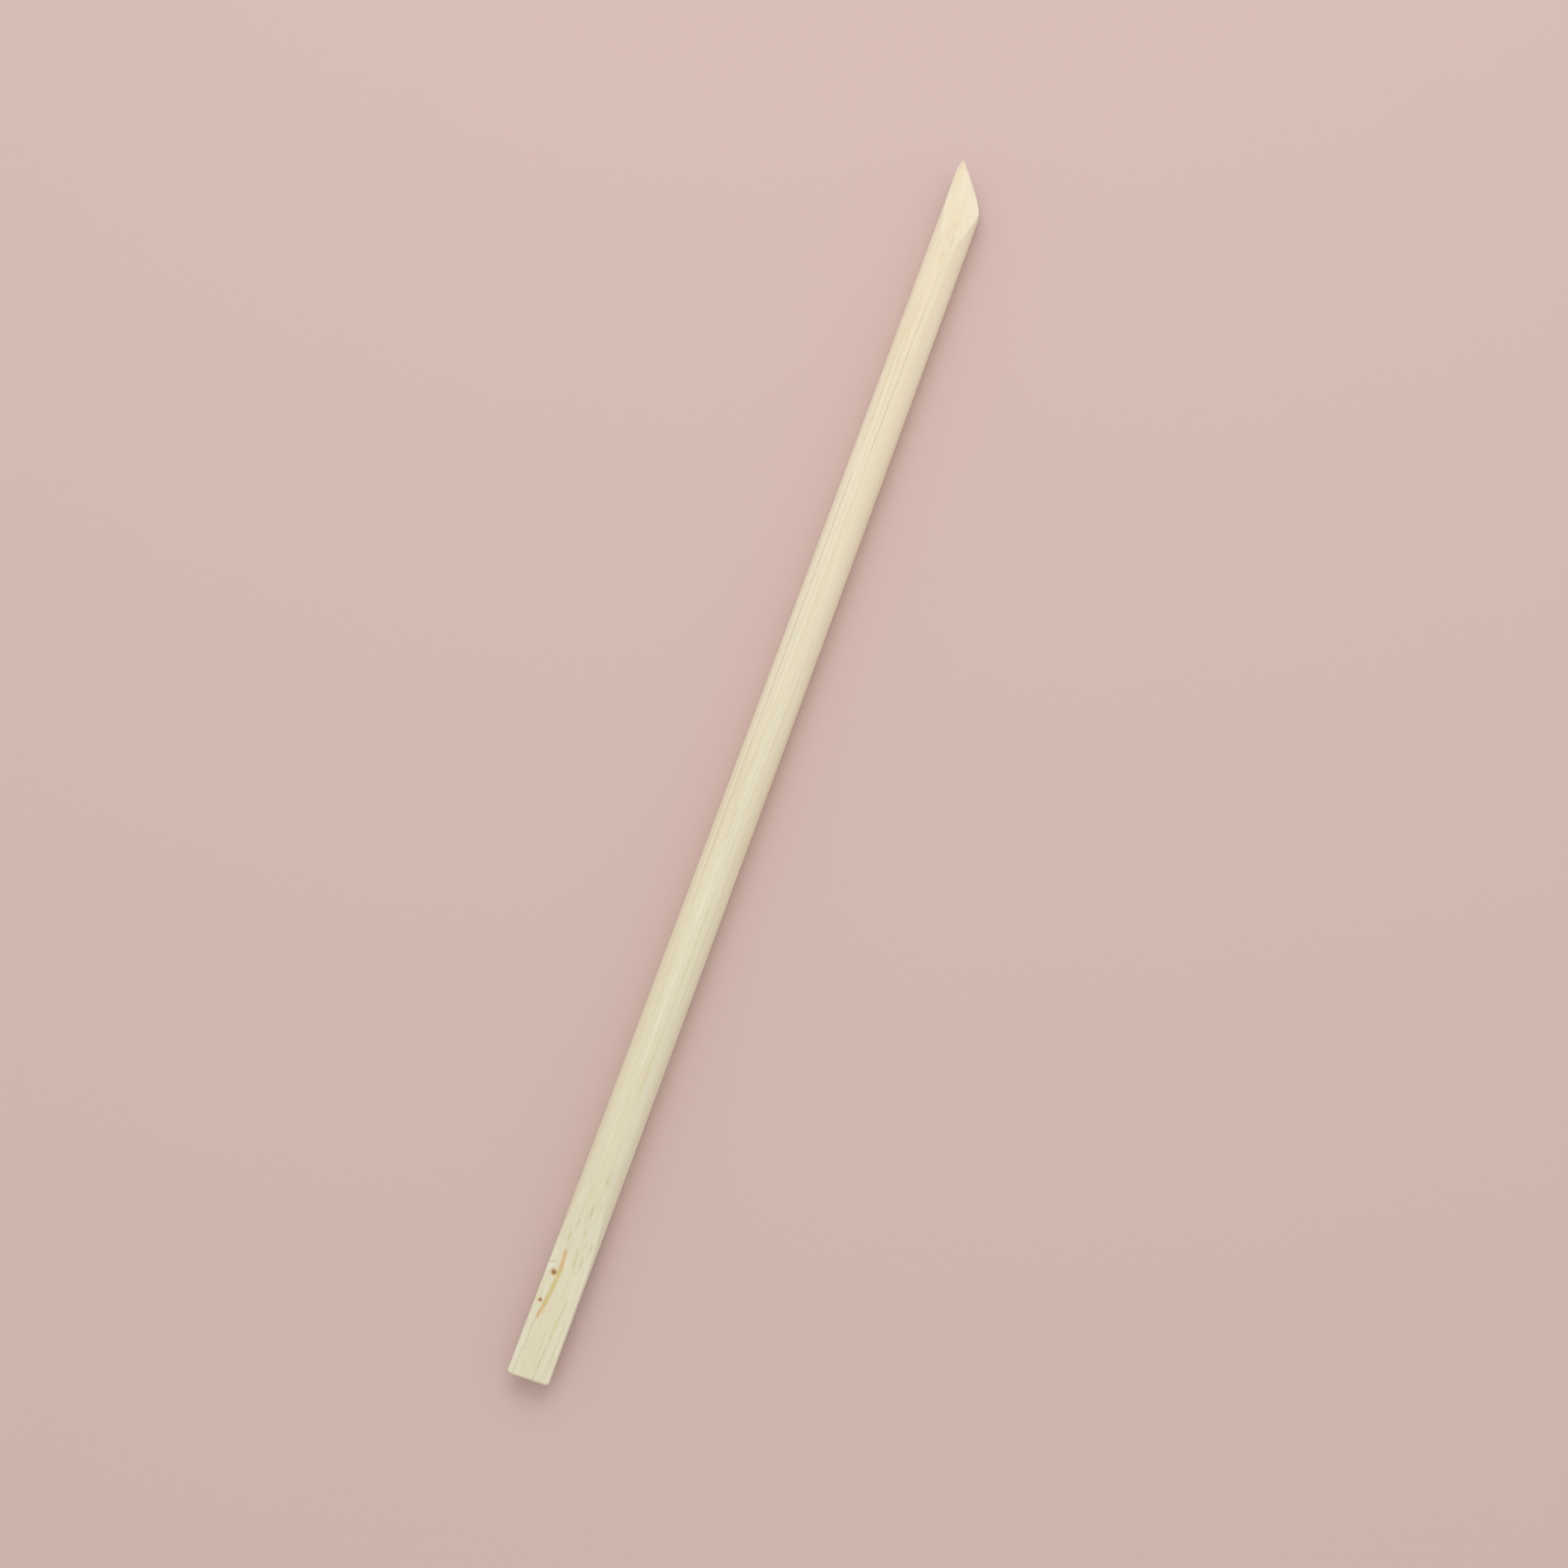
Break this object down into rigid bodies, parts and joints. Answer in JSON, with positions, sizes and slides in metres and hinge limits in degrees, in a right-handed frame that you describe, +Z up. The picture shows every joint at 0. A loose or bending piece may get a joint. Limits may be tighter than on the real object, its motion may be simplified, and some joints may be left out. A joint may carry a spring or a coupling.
{
  "type": "bamboo manicure stick",
  "caption": "Slim round bamboo stick with a flat blade at each end, one cut off square and the other slanting to a point, lying on its side.",
  "frame": {"origin": "on the surface that the stick lies on, under the middle of its box", "axes": "+Y along the stick from the square end to the pointed end, +Z up, +X to the right, with the point at the -X edge"},
  "size_m": [0.0044, 0.152, 0.0043],
  "materials": {
    "bamboo": "bare milled bamboo, satin along the fibres, dull on the blades"
  },
  "bodies": {
    "root": {"bamboo_stick": "bamboo"}
  },
  "joints": []
}
